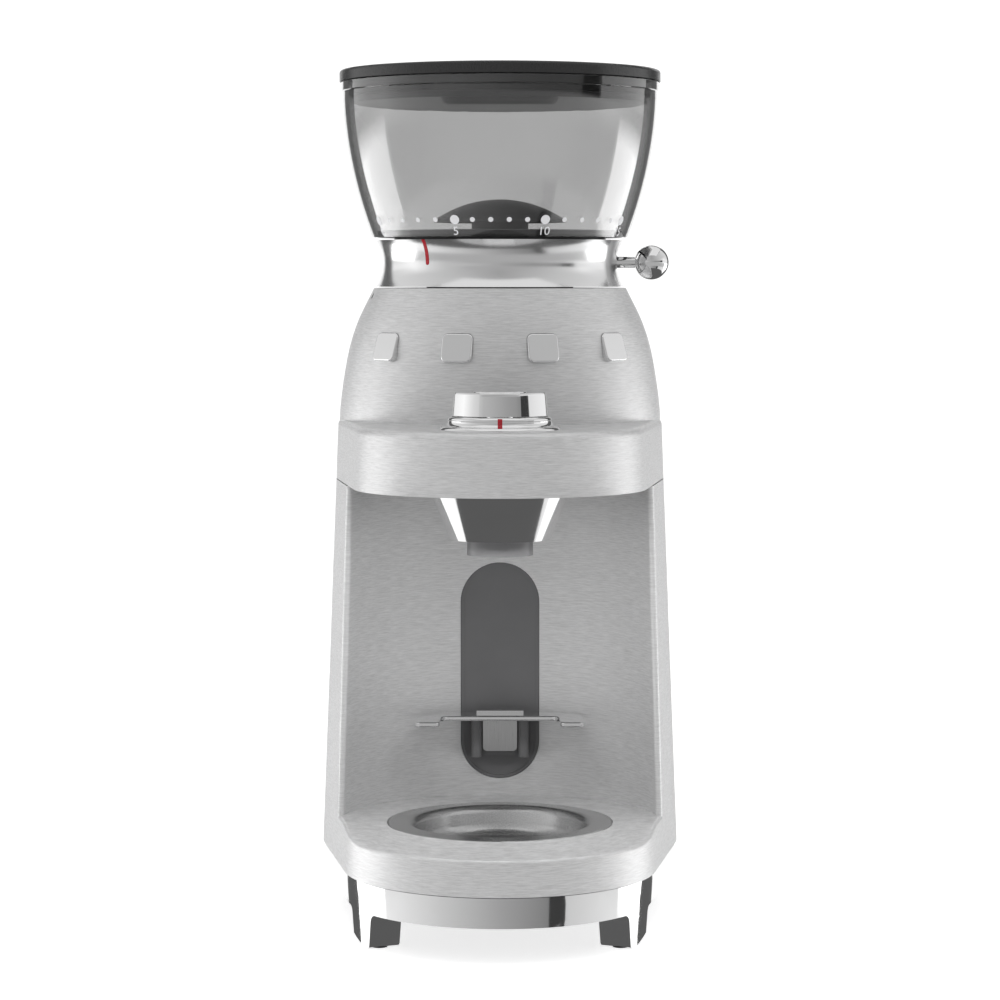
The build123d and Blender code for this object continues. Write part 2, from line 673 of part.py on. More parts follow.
def cone_burr():
    """Turning burr on the shaft."""
    bore = SHAFT_R + FIT
    body = turned([(bore, 248), (20.6, 248), (20.6, 251), (19.2, 257), (11, 265), (bore, 265)], GRIND_Y)
    for i in range(12):
        groove = Pos(20.0, 0, 257) * Rot(0, -35, 0) * Rot(0, 0, 30) * Box(3.0, 2.0, 24)
        body -= Pos(0, GRIND_Y, 0) * Rot(0, 0, 30 * i) * groove
    return body


def impeller():
    """Plastic wheel under the burrs that sweeps the grounds to the chute."""
    body = ring(7.5, SHAFT_R + FIT, 235.0, 247.8, 0, GRIND_Y) + ring(30.0, 7.0, 235.2, 236.6, 0, GRIND_Y)
    for x, y in around(6, 1.0):
        angle = math.degrees(math.atan2(y, x))
        body += Pos(0, GRIND_Y, 0) * Rot(0, 0, angle) * block(7, 31.5, -1, 1, 235.2, 244)
    return body


def burr_shaft():
    return disc(SHAFT_R, CHASSIS_Z1 + 0.4, 272.0, 0, GRIND_Y)


def burr_nut():
    """Hexagon nut that clamps the cone burr on its shaft."""
    nut = extrude(RegularPolygon(7.5, 6), 5.0)
    return Pos(0, GRIND_Y, 265.1) * nut - disc(SHAFT_R + FIT, 260, 275, 0, GRIND_Y)


def burr_carrier():
    """Threaded sleeve that holds the ring burr and climbs as it is turned."""
    r = CHAMBER_R - 0.4
    points = [(29.1, 252), (r, 252), (r, 294), (29.3, 294), (29.3, 270), (24, 266), (24, 264.1), (29.1, 264.1)]
    return turned(points, GRIND_Y)


# ---------------------------------------------------------------- gears
def involute(radius, base):
    """Polar angle that an involute has turned through at a radius."""
    a = math.acos(min(1.0, base / radius))
    return math.tan(a) - a


def gear(module, teeth, z0, z1, x, y, tooth_at, bore):
    """Spur gear with involute flanks and one tooth centred at the angle tooth_at, in degrees."""
    pitch = module * teeth / 2
    base = pitch * math.cos(PRESSURE)
    root, tip = pitch - 1.25 * module, pitch + module
    half = math.pi / (2 * teeth) - BACKLASH / 2 / (2 * pitch)
    start = max(base, root)
    radii = [start + (tip - start) * k / 3 for k in range(4)]
    flank = [(r, half + involute(pitch, base) - involute(r, base)) for r in radii]

    def at(r, a):
        return (r * math.cos(a), r * math.sin(a))

    edges = []
    step = 2 * math.pi / teeth
    for i in range(teeth):
        mid = math.radians(tooth_at) + i * step
        rise = [at(r, mid - a) for r, a in flank]
        fall = [at(r, mid + a) for r, a in reversed(flank)]
        foot, next_foot = at(root, mid - flank[0][1]), at(root, mid + flank[0][1])
        if start > root + 1e-6:
            edges.append(Line(foot, rise[0]))
        edges += [Spline(*rise), ThreePointArc(rise[-1], at(tip, mid), fall[0]), Spline(*fall)]
        if start > root + 1e-6:
            edges.append(Line(fall[-1], next_foot))
        far_foot = at(root, mid + step - flank[0][1])
        edges.append(ThreePointArc(next_foot, at(root, mid + step / 2), far_foot))
    body = Pos(x, y, z0) * extrude(make_face(edges), z1 - z0)
    return body - disc(bore, z0 - 1, z1 + 1, x, y)


def bearing_of(x0, y0, x1, y1):
    return math.degrees(math.atan2(y1 - y0, x1 - x0))


MOTOR_TO_IDLER = bearing_of(0, MOTOR_Y, IDLER_X, IDLER_Y)
IDLER_TO_BURR = bearing_of(IDLER_X, IDLER_Y, 0, GRIND_Y)


def motor_pinion():
    z0, z1 = STAGE1_Z[0] - 0.3, STAGE1_Z[1] + 0.4
    return gear(M1, PINION1, z0, z1, 0, MOTOR_Y, MOTOR_TO_IDLER, MOTOR_SHAFT_R + FIT)


def idler_wheel():
    gap = MOTOR_TO_IDLER + 180 + 180 / WHEEL1
    return gear(M1, WHEEL1, *STAGE1_Z, IDLER_X, IDLER_Y, gap, MOTOR_SHAFT_R + FIT)


def idler_pinion():
    return gear(M2, PINION2, 212.4, 223.0, IDLER_X, IDLER_Y, IDLER_TO_BURR, MOTOR_SHAFT_R + FIT)


def output_gear():
    gap = IDLER_TO_BURR + 180 + 180 / WHEEL2
    return gear(M2, WHEEL2, *STAGE2_Z, 0, GRIND_Y, gap, SHAFT_R + FIT)


def idler_shaft():
    return disc(MOTOR_SHAFT_R, CHASSIS_Z1 + 0.4, COVER_Z1 - 0.2, IDLER_X, IDLER_Y)


def gearbox_hull(grow):
    circles = [
        Pos(0, GRIND_Y) * Circle(29.0 + grow),
        Pos(IDLER_X, IDLER_Y) * Circle(26.6 + grow),
        Pos(0, MOTOR_Y) * Circle(12.0 + grow),
    ]
    return make_hull(ShapeList([c.edges()[0] for c in circles]))


def gearbox_housing():
    """Wall round the gears, standing on the chassis plate."""
    z0 = CHASSIS_Z1 + 0.1
    wall = extrude(gearbox_hull(2.0), GEARBOX_Z1 - z0) - extrude(gearbox_hull(0), GEARBOX_Z1 - z0)
    return Pos(0, 0, z0) * wall


def gearbox_cover():
    """Lid of the gearbox with the idler's upper bush."""
    plate = Pos(0, 0, GEARBOX_Z1 + 0.1) * extrude(gearbox_hull(2.0), COVER_Z1 - GEARBOX_Z1 - 0.1)
    plate -= disc(12.5, 220, 232, 0, GRIND_Y)
    return plate - disc(BUSH_R + FIT, 220, 232, IDLER_X, IDLER_Y)


# ---------------------------------------------------------------- motor
def motor_can():
    """Steel can of the motor, with a bush at the bottom."""
    can = disc(MOTOR_R, MOTOR_Z0, MOTOR_CAP_Z0 - 0.1, 0, MOTOR_Y)
    can -= disc(MOTOR_R - 1.6, MOTOR_Z0 + 2, MOTOR_CAP_Z0 + 1, 0, MOTOR_Y)
    can += disc(7, MOTOR_Z0 - 4, MOTOR_Z0 + 4, 0, MOTOR_Y)
    return can - disc(MOTOR_SHAFT_R + FIT, MOTOR_Z0 - 2, MOTOR_Z0 + 6, 0, MOTOR_Y)


def motor_cap():
    """End cap that the motor is screwed up by."""
    cap = disc(MOTOR_R, MOTOR_CAP_Z0, CHASSIS_Z0 - 0.05, 0, MOTOR_Y)
    cap -= disc(MOTOR_SHAFT_R + FIT, 180, 200, 0, MOTOR_Y)
    for x, y in motor_screw_places():
        cap -= disc(1.6, 180, 200, x, y)
    return cap


def motor_stator():
    return ring(MOTOR_R - 1.7, 18.6, 120, 168, 0, MOTOR_Y)


def motor_rotor():
    body = ring(18.0, MOTOR_SHAFT_R + FIT, 120, 168, 0, MOTOR_Y)
    for x, y in around(12, 18.0, 0, 0, MOTOR_Y):
        body -= disc(1.3, 119, 169, x, y)
    return body


def commutator():
    return ring(9.0, MOTOR_SHAFT_R + FIT, 172, 184, 0, MOTOR_Y)


def motor_shaft():
    return disc(MOTOR_SHAFT_R, MOTOR_Z0 - 1.8, 212.3, 0, MOTOR_Y)


def motor_brushes():
    """Carbon brushes on either side of the commutator."""
    return group([block(9.2, 20, 69.5, 74.5, 175, 181), block(-20, -9.2, 69.5, 74.5, 175, 181)])


# ---------------------------------------------------------------- electrics
def power_board():
    """Circuit board beside the motor with its larger components."""
    board = block(36.0, 37.6, 32, 88, 84, 170)
    parts = block(37.6, 50, 36, 50, 140, 160) + block(37.6, 46, 60, 80, 96, 120)
    capacitor = Pos(37.6, 70, 146) * Rot(0, 90, 0) * Cylinder(8, 16, align=MIN)
    return board + parts + capacitor


def knob_encoder():
    """Encoder under the shelf that the knob turns."""
    body = block(-8, 8, KNOB_Y - 8, KNOB_Y + 8, 213.4, 222.4)
    return body - disc(6.3, 212, 223, 0, KNOB_Y)


def start_switch():
    """Micro-switch below the start button's stem, on a foot that stands on the chassis plate."""
    return block(-6, 6, KNOB_Y - 4, KNOB_Y + 4, CHASSIS_Z1 + 0.1, 210.6) + disc(1.6, 210.6, 211.6, 0, KNOB_Y)


# ---------------------------------------------------------------- knob
def knob_ring():
    """Stepped escutcheon round the knob's foot."""
    z = SHELF_Z + 0.02
    top = z + KNOB_RING_H
    edges = [
        Line(side(21.0, z), side(26.0, z)),
        ThreePointArc(side(26.0, z), side(25.4, z + 1.0), side(24.0, z + 1.5)),
        ThreePointArc(side(24.0, z + 1.5), side(22.9, z + 2.4), side(22.6, z + 4.2)),
        ThreePointArc(side(22.6, z + 4.2), side(22.2, top - 0.5), side(21.2, top)),
        Line(side(21.2, top), side(7.2, top)),
        Line(side(7.2, top), side(7.2, z)),
        Line(side(7.2, z), side(21.0, z)),
    ]
    return turned_edges(edges, KNOB_Y)


def knob_section(z, to_flat):
    """The knob's plan at a level: an even-sided polygon with a flat to the front."""
    corner = to_flat / math.cos(math.pi / KNOB_SIDES)
    points = around(KNOB_SIDES, corner, 180 / KNOB_SIDES)
    return Pos(0, KNOB_Y, z) * make_face(Polyline(*points, close=True))


def knob():
    """Chromed selector knob: an eight-sided cup with a hub that goes down to the encoder."""
    cup = loft([knob_section(KNOB_Z0, KNOB_W[0]), knob_section(KNOB_Z1, KNOB_W[1])], ruled=True)
    upright = [e for e in cup.edges() if e.bounding_box().size.Z > 1]
    cup = fillet(upright, 2.5)
    cup = fillet(cup.edges().group_by(Axis.Z)[-1], 1.2)
    cup -= disc(18.3, KNOB_Z0 - 1, KNOB_Z1 - 2.2, 0, KNOB_Y)
    cup -= disc(BUTTON_R + 0.25, KNOB_Z0, KNOB_Z1 + 1, 0, KNOB_Y)
    web = ring(18.6, 2.9, KNOB_Z0 + 0.3, KNOB_Z0 + 2.3, 0, KNOB_Y)
    hub = ring(6.0, 2.9, 214.0, KNOB_Z0 + 2.3, 0, KNOB_Y)
    return cup + web + hub


def start_button():
    """Round button in the knob's top, on a stem through its hub."""
    top = KNOB_Z1 + 0.5
    cap = disc(BUTTON_R, top - 2.8, top, 0, KNOB_Y)
    cap = fillet(cap.edges().group_by(Axis.Z)[-1], 0.7)
    skirt = ring(10.5, 9.2, top - 5.4, top - 2.8, 0, KNOB_Y)
    stem = disc(2.4, 211.8 + BUTTON_TRAVEL, top - 2.8, 0, KNOB_Y)
    return cap + skirt + stem


# ---------------------------------------------------------------- collar
COLLAR_INNER_R = 49.0
POINTER_AZIMUTH = -37.0
POINTER_W = 1.8
LEVER_Z = 297.0
LEVER_R = 2.6
BALL_R = 8.0
BALL_X = 69.4


def collar_skin(grow):
    """Solid inside the collar's hollow-waisted surface, grown outward."""
    edges = [
        ThreePointArc(side(57.1 + grow, COLLAR_Z0), side(53.6 + grow, 297.0), side(56.9 + grow, COLLAR_Z1)),
        Line(side(56.9 + grow, COLLAR_Z1), side(0, COLLAR_Z1)),
        Line(side(0, COLLAR_Z1), side(0, COLLAR_Z0)),
        Line(side(0, COLLAR_Z0), side(57.1 + grow, COLLAR_Z0)),
    ]
    return turned_edges(edges, GRIND_Y)


def pointer_slot(grow):
    """Radial prism of the pointer: straight sides and a round lower end."""
    z0 = 296.6
    w = POINTER_W / 2 + grow
    prism = block(-w, w, -70, -40, z0, COLLAR_Z1 + 1) + Pos(0, -55, z0) * Rot(90, 0, 0) * Cylinder(w, 30)
    return Pos(0, GRIND_Y, 0) * Rot(0, 0, POINTER_AZIMUTH) * prism


def collar():
    """Polished ring, hollow at the waist, that sets the grind."""
    body = collar_skin(0) - disc(COLLAR_INNER_R, COLLAR_Z0 - 1, COLLAR_Z1 + 1, 0, GRIND_Y)
    body -= pointer_slot(0.1) - collar_skin(-0.7)
    return body - Pos(45, GRIND_Y, LEVER_Z) * Rot(0, 90, 0) * Cylinder(LEVER_R + FIT, 20, align=MIN)


def grind_pointer():
    """Enamel pointer let into the collar's upper half."""
    strip = (collar_skin(0.12) - collar_skin(-0.65)) & pointer_slot(0)
    return strip & disc(70, COLLAR_Z0, COLLAR_Z1 - 0.1, 0, GRIND_Y)


def drive_ring():
    """Ring inside the collar that turns the burr carrier."""
    return ring(COLLAR_INNER_R - 0.05, CHAMBER_R - 0.2, COLLAR_Z0 + 0.4, COLLAR_Z0 + 4.4, 0, GRIND_Y)


def lever_rod():
    return Pos(49.2, GRIND_Y, LEVER_Z) * Rot(0, 90, 0) * Cylinder(LEVER_R, BALL_X - 49.2 - 3.0, align=MIN)


def lever_ball():
    hole = Pos(50, GRIND_Y, LEVER_Z) * Rot(0, 90, 0) * Cylinder(LEVER_R + FIT, BALL_X - 50 - 2.8, align=MIN)
    return Pos(BALL_X, GRIND_Y, LEVER_Z) * Sphere(BALL_R) - hole


# ---------------------------------------------------------------- hopper
HOPPER_WALL = 2.6


def hopper_edge(inset):
    """Line of the hopper's side from the bottom up to its flange."""
    points = [(58.7, HOPPER_Z0), (65.0, 327.3), (69.8, 349.1), (72.0, 371.0)]
    return Spline(*[side(r - inset, z) for r, z in points])


def hopper():
    """Smoky clear hopper with a small step below its rim."""
    rim = 72.7
    inner_top = 72.0 - HOPPER_WALL
    edges = [
        hopper_edge(0),
        Line(side(72.0, 371.0), side(72.0, 374.2)),
        Line(side(72.0, 374.2), side(rim, 374.6)),
        Line(side(rim, 374.6), side(rim, HOPPER_Z1)),
        Line(side(rim, HOPPER_Z1), side(inner_top, HOPPER_Z1)),
        Line(side(inner_top, HOPPER_Z1), side(inner_top, 371.0)),
        hopper_edge(HOPPER_WALL),
        Line(side(58.7 - HOPPER_WALL, HOPPER_Z0), side(58.7, HOPPER_Z0)),
    ]
    return turned_edges(edges, GRIND_Y)


OUTLET_R = 27.0
GUARD_STEM_R = 13.0


def hopper_base():
    """Dark floor of the hopper, with the outlet neck, a locating skirt and the guard's spider."""
    points = [(OUTLET_R, 308.6), (55.7, 308.6), (55.9, 311.4), (52, 311.8), (OUTLET_R, 310.6)]
    body = turned(points, GRIND_Y)
    body += ring(28.6, OUTLET_R, 297.2, 310, 0, GRIND_Y)
    body += ring(48.4, 46.4, 301.0, 309, 0, GRIND_Y)
    for angle in (90, 210, 330):
        arm = Rot(0, 0, angle) * block(2, OUTLET_R + 0.6, -1.4, 1.4, 299, 306)
        body += Pos(0, GRIND_Y, 0) * arm
    return body + disc(GUARD_STEM_R - 4, 299, 308, 0, GRIND_Y)


def bean_guard():
    """Mushroom-shaped guard that keeps fingers from the burrs, on a flared stem."""
    top, brim, foot = 326.0, 316.4, 306.2
    stem, bore = GUARD_STEM_R, GUARD_STEM_R - 1.8
    edges = [
        crown(30.2, brim, top),
        Line(side(0, top), side(0, top - 2)),
        crown(bore, top - 3.7, top - 2),
        Line(side(bore, top - 3.7), side(bore, foot + 5)),
        Line(side(bore, foot + 5), side(stem + 2.6, foot)),
        Line(side(stem + 2.6, foot), side(stem + 5, foot)),
        Line(side(stem + 5, foot), side(stem, foot + 5.6)),
        Line(side(stem, foot + 5.6), side(stem, top - 4.6)),
        ThreePointArc(side(stem, top - 4.6), side(20.8, brim + 2.6), side(27.6, brim - 0.9)),
        Line(side(27.6, brim - 0.9), side(30.2, brim - 0.9)),
        Line(side(30.2, brim - 0.9), side(30.2, brim)),
    ]
    return turned_edges(edges, GRIND_Y)


# ---------------------------------------------------------------- lid
LID_R = 73.2
PLUG_R = 66.6
SCOOP_Y = GRIND_Y - 53.0


def scoop(length, width, z0, z1, rounding):
    """Finger scoop near the lid's front edge."""
    body = Pos(0, SCOOP_Y, z0) * extrude(SlotOverall(length, width), z1 - z0)
    return fillet(body.edges().group_by(Axis.Z)[0], rounding)


def lid_cap():
    body = disc(LID_R, LID_Z0, LID_Z1, 0, GRIND_Y)
    body = fillet(body.edges().group_by(Axis.Z)[-1], 1.3)
    body -= disc(LID_R - 4, LID_Z0 - 1, LID_Z0 + 1.4, 0, GRIND_Y)
    return body - scoop(46, 13, 370, LID_Z1 + 1, 3)


def lid_plug():
    """Cup under the lid's cap, with the bulge of the finger scoop."""
    z1 = LID_Z0 + 1.3
    body = ring(PLUG_R, PLUG_R - 2, 369.0, z1, 0, GRIND_Y) + disc(PLUG_R, 369.0, 370.8, 0, GRIND_Y)
    body += scoop(51, 18, 365.8, z1, 3.5)
    body -= scoop(46, 13, 367.6, z1 + 1, 3)
    return body & disc(PLUG_R, 360, 390, 0, GRIND_Y)


def lid_seal():
    body = ring(PLUG_R + 2.3, PLUG_R + 0.05, 371.8, 375.2, 0, GRIND_Y)
    return fillet(body.edges().filter_by(GeomType.CIRCLE).sort_by(SortBy.RADIUS)[-2:], 0.8)


NODES = [
    lower_housing, dish_well, foot_band, foot_pads, bottom_cover, base_screws, cord_gland,
    back_panel, fork_socket, fork, fork_tongue, dish,
    head_shell, badge_tiles, chassis_plate, column_screws, funnel, spout, chute,
    burr_chamber, chamber_screws, shaft_bearings, idler_bushes, ring_burr, cone_burr, impeller,
    burr_shaft, burr_nut, burr_carrier,
    motor_pinion, idler_wheel, idler_pinion, output_gear, idler_shaft, gearbox_housing, gearbox_cover,
    motor_can, motor_cap, motor_stator, motor_rotor, commutator, motor_shaft, motor_brushes,
    power_board, knob_encoder, start_switch, knob_ring, knob, start_button,
    collar, grind_pointer, drive_ring, lever_rod, lever_ball,
    hopper, hopper_base, bean_guard, lid_cap, lid_plug, lid_seal,
]

for make in NODES:
    save(make.__name__, make())
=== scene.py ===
import json
import math

import bmesh
import bpy
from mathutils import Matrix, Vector


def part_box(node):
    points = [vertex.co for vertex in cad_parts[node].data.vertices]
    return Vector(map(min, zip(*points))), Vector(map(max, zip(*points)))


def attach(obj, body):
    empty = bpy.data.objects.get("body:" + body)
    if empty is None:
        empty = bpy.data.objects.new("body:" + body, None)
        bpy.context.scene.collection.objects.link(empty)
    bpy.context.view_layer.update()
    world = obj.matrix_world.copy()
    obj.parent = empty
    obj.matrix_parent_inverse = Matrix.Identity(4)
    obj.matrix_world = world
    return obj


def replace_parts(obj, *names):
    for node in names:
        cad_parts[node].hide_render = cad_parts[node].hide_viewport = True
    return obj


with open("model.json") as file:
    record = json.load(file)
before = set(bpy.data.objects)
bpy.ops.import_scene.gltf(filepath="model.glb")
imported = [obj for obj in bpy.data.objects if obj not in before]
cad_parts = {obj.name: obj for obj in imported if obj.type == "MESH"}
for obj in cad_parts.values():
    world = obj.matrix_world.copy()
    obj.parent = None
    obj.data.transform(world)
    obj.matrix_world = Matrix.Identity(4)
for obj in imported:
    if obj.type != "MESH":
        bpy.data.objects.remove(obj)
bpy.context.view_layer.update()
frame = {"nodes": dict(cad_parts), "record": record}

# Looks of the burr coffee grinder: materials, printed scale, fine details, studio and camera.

MM = 0.001
MICRON = 1e-6

# Axes and levels that the details need, taken from the frame
hopper_lo, hopper_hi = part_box("hopper")
ring_lo, ring_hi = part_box("knob_ring")
head_lo, head_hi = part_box("head_shell")
GRIND_Y = (hopper_lo.y + hopper_hi.y) / 2
KNOB_Y = (ring_lo.y + ring_hi.y) / 2


# ---------------------------------------------------------------- node helpers
def new_material(name):
    """A new material with its node tree and its main shader."""
    material = bpy.data.materials.new(name)
    material.use_nodes = True
    tree = material.node_tree
    return material, tree, tree.nodes["Principled BSDF"]


def coordinates(tree, scale):
    """Object coordinates in metres, multiplied per axis."""
    source = tree.nodes.new("ShaderNodeTexCoord")
    mapping = tree.nodes.new("ShaderNodeMapping")
    mapping.inputs["Scale"].default_value = scale
    tree.links.new(source.outputs["Object"], mapping.inputs["Vector"])
    return mapping.outputs["Vector"]


def noise(tree, scale, detail=4.0, roughness=0.6):
    """Noise from 0 to 1; scale is its frequency per axis, in cycles per metre."""
    node = tree.nodes.new("ShaderNodeTexNoise")
    node.inputs["Scale"].default_value = 1.0
    node.inputs["Detail"].default_value = detail
    node.inputs["Roughness"].default_value = roughness
    tree.links.new(coordinates(tree, scale), node.inputs["Vector"])
    return node.outputs["Fac"]


def spread(tree, value, low, high, from_low=0.3, from_high=0.7):
    """Maps a 0 to 1 value onto a range."""
    node = tree.nodes.new("ShaderNodeMapRange")
    node.inputs["From Min"].default_value = from_low
    node.inputs["From Max"].default_value = from_high
    node.inputs["To Min"].default_value = low
    node.inputs["To Max"].default_value = high
    tree.links.new(value, node.inputs["Value"])
    return node.outputs["Result"]


def shades(tree, value, dark, light, from_low=0.3, from_high=0.7):
    """Maps a value onto a run between two colours."""
    node = tree.nodes.new("ShaderNodeValToRGB")
    node.color_ramp.elements[0].position = from_low
    node.color_ramp.elements[0].color = (*dark, 1)
    node.color_ramp.elements[1].position = from_high
    node.color_ramp.elements[1].color = (*light, 1)
    tree.links.new(value, node.inputs["Fac"])
    return node.outputs["Color"]


def bump(tree, shader, height, distance):
    """Relief of the given depth in metres."""
    node = tree.nodes.new("ShaderNodeBump")
    node.inputs["Strength"].default_value = 1.0
    node.inputs["Distance"].default_value = distance
    tree.links.new(height, node.inputs["Height"])
    tree.links.new(node.outputs["Normal"], shader.inputs["Normal"])


def grey(value, tint=0.0):
    """A grey that a positive tint turns slightly blue."""
    return (value, value, value * (1 + tint))


# ---------------------------------------------------------------- materials
BROAD_GRAIN = (9, 9, 14)  # cycles per metre of the slow changes in gloss
FINE_SHARE = 0.6  # how far the gloss follows the fine grain
BROAD_SHARE = (0.1, 0.3)  # least and most that the slow changes add


def brushed_metal(name, dark, light, rough, grain, bump_um=4.0, anisotropic=0.4, metallic=1.0):
    """Metal brushed along one direction; grain is the frequency per axis, in cycles per metre."""
    material, tree, shader = new_material(name)
    fine = noise(tree, grain, detail=6.0, roughness=0.7)
    broad = noise(tree, BROAD_GRAIN, detail=2.0)
    shader.inputs["Metallic"].default_value = metallic
    shader.inputs["Anisotropic"].default_value = anisotropic
    tree.links.new(shades(tree, fine, grey(dark), grey(light, 0.004)), shader.inputs["Base Color"])
    mixed = tree.nodes.new("ShaderNodeMath")
    mixed.operation = "MULTIPLY_ADD"
    tree.links.new(fine, mixed.inputs[0])
    mixed.inputs[1].default_value = FINE_SHARE
    tree.links.new(spread(tree, broad, *BROAD_SHARE), mixed.inputs[2])
    tree.links.new(spread(tree, mixed.outputs["Value"], *rough), shader.inputs["Roughness"])
    bump(tree, shader, fine, bump_um * MICRON)
    tangent = tree.nodes.new("ShaderNodeTangent")
    tangent.direction_type = "RADIAL"
    tangent.axis = "Z"
    tree.links.new(tangent.outputs["Tangent"], shader.inputs["Tangent"])
    return material


def polished_metal(name, colour, rough, haze=0.03):
    """Chrome or polished steel with faint smears and hairlines."""
    material, tree, shader = new_material(name)
    smear = noise(tree, (30, 30, 55), detail=5.0)
    lines = noise(tree, (90, 90, 2600), detail=3.0)
    shader.inputs["Metallic"].default_value = 1.0
    low, high = grey(colour * 0.97), grey(colour, 0.006)
    tree.links.new(shades(tree, smear, low, high), shader.inputs["Base Color"])
    tree.links.new(spread(tree, smear, rough, rough + haze), shader.inputs["Roughness"])
    bump(tree, shader, lines, 0.4 * MICRON)
    return material


def moulded_plastic(name, colour, rough, texture_um=12.0, texture_per_m=2600, tint=0.02):
    """Matt moulded plastic with spark-eroded texture and slight shade changes."""
    material, tree, shader = new_material(name)
    pores = noise(tree, (texture_per_m,) * 3, detail=2.0)
    clouds = noise(tree, (22, 22, 22), detail=3.0)
    low, high = grey(colour * 0.92, tint), grey(colour * 1.08, tint)
    tree.links.new(shades(tree, clouds, low, high), shader.inputs["Base Color"])
    tree.links.new(spread(tree, pores, rough - 0.06, rough + 0.08), shader.inputs["Roughness"])
    bump(tree, shader, pores, texture_um * MICRON)
    return material


def smoky_plastic():
    """Clear smoky copolyester: the tint is in its thickness, with faint moulding waviness."""
    material, tree, shader = new_material("smoky_plastic")
    waves = noise(tree, (16, 16, 10), detail=1.0)
    specks = noise(tree, (420, 420, 420), detail=2.0)
    shader.inputs["Transmission Weight"].default_value = 1.0
    shader.inputs["IOR"].default_value = 1.55
    shader.inputs["Coat Weight"].default_value = 1.0
    shader.inputs["Coat Roughness"].default_value = 0.02
    tree.links.new(shades(tree, waves, grey(0.97), grey(1.0)), shader.inputs["Base Color"])
    tree.links.new(spread(tree, specks, 0.0, 0.02), shader.inputs["Roughness"])
    bump(tree, shader, waves, 30 * MICRON)
    smoke = tree.nodes.new("ShaderNodeVolumeAbsorption")
    smoke.inputs["Color"].default_value = (0, 0, 0, 1)
    smoke.inputs["Density"].default_value = 172.0
    tree.links.new(smoke.outputs["Volume"], tree.nodes["Material Output"].inputs["Volume"])
    return material


def enamel(name, colour):
    """Glossy paint with a faint orange-peel surface."""
    material, tree, shader = new_material(name)
    orange_peel = noise(tree, (900, 900, 900), detail=2.0)
    low = tuple(c * 0.85 for c in colour)
    tree.links.new(shades(tree, orange_peel, low, colour), shader.inputs["Base Color"])
    tree.links.new(spread(tree, orange_peel, 0.18, 0.3), shader.inputs["Roughness"])
    bump(tree, shader, orange_peel, 6 * MICRON)
    return material


def build_materials():
    """Every look by name; the slots of the CAD nodes use the same names."""
    horizontal = (160, 160, 2300)
    upright = (3000, 3000, 60)
    return {
        "brushed_aluminium": brushed_metal(
            "brushed_aluminium", 0.60, 0.85, (0.40, 0.52), horizontal,
            bump_um=6.0, anisotropic=0.3, metallic=0.5,
        ),
        "brushed_steel": brushed_metal("brushed_steel", 0.42, 0.52, (0.25, 0.36), upright),
        "satin_steel": brushed_metal(
            "satin_steel", 0.57, 0.63, (0.24, 0.30), (2600, 2600, 2600), bump_um=0.3, anisotropic=0.0
        ),
        "chrome": polished_metal("chrome", 0.80, 0.05),
        "polished_collar": polished_metal("polished_collar", 0.78, 0.15, haze=0.06),
        "dark_plastic": moulded_plastic("dark_plastic", 0.15, 0.42),
        "satin_lid": moulded_plastic("satin_lid", 0.022, 0.28, texture_um=4.0),
        "smoky_plastic": smoky_plastic(),
        "rubber": moulded_plastic("rubber", 0.03, 0.65, texture_um=20.0),
        "red_enamel": enamel("red_enamel", (0.50, 0.012, 0.025)),
        "die_casting": brushed_metal(
            "die_casting", 0.42, 0.50, (0.45, 0.6), (700, 700, 700), bump_um=15.0, anisotropic=0.0
        ),
        "white_nylon": moulded_plastic("white_nylon", 0.75, 0.5, texture_um=6.0),
        "steel": brushed_metal("steel", 0.48, 0.58, (0.25, 0.35), (400, 400, 2500)),
        "copper": polished_metal("copper", 0.6, 0.25),
        "circuit_board": enamel("circuit_board", (0.02, 0.16, 0.07)),
        "white_print": moulded_plastic("white_print", 0.92, 0.5, texture_um=2.0),
        "dark_print": moulded_plastic("dark_print", 0.02, 0.5, texture_um=2.0),
    }


MATERIALS = build_materials()
NODE_LOOKS = {"lid_cap": "satin_lid"}  # nodes that differ from their slot


def dress_cad_nodes():
    """Gives every CAD node the material of its slot, or its own look where it has one."""
    slot_of = {entry["node"]: entry["material_slot"] for entry in frame["record"]["subparts"]}
    for name, node in frame["nodes"].items():
        material = MATERIALS[NODE_LOOKS.get(name, slot_of[name])]
        if not node.material_slots:
            node.data.materials.append(material)
        for slot in node.material_slots:
            slot.material = material


dress_cad_nodes()


# ---------------------------------------------------------------- printed scale and small marks
SCALE_GROUPS = (-62.3, -19.0, 19.0, 62.3)  # azimuths of settings 0, 5, 10 and 15, in degrees
GROUP_STEPS = 5
LAST_SETTING = GROUP_STEPS * (len(SCALE_GROUPS) - 1)
DOT_Z = 0.3155  # heights above the worktop, in metres
NUMBER_Z = 0.3104
LARGE_DOT_R = 2.15 * MM
SMALL_DOT_R = 1.15 * MM
NUMBER_SIZE = 5.6 * MM
PRINT_LIFT = 0.06 * MM
NEAR_AZIMUTH = math.radians(6)


def cad_radius(node, z, axis_y, azimuth=None):
    """Outer radius of a CAD node about a vertical axis at a level, all round or near one azimuth."""
    mesh = frame["nodes"][node].data
    largest = 0.0
    for edge in mesh.edges:
        low, high = sorted((mesh.vertices[i].co for i in edge.vertices), key=lambda co: co.z)
        if not low.z <= z < high.z:
            continue
        x, y, _ = low.lerp(high, (z - low.z) / (high.z - low.z))
        off = 0 if azimuth is None else abs(math.atan2(x, axis_y - y) - azimuth)
        if off < NEAR_AZIMUTH:
            largest = max(largest, math.hypot(x, y - axis_y))
    return largest


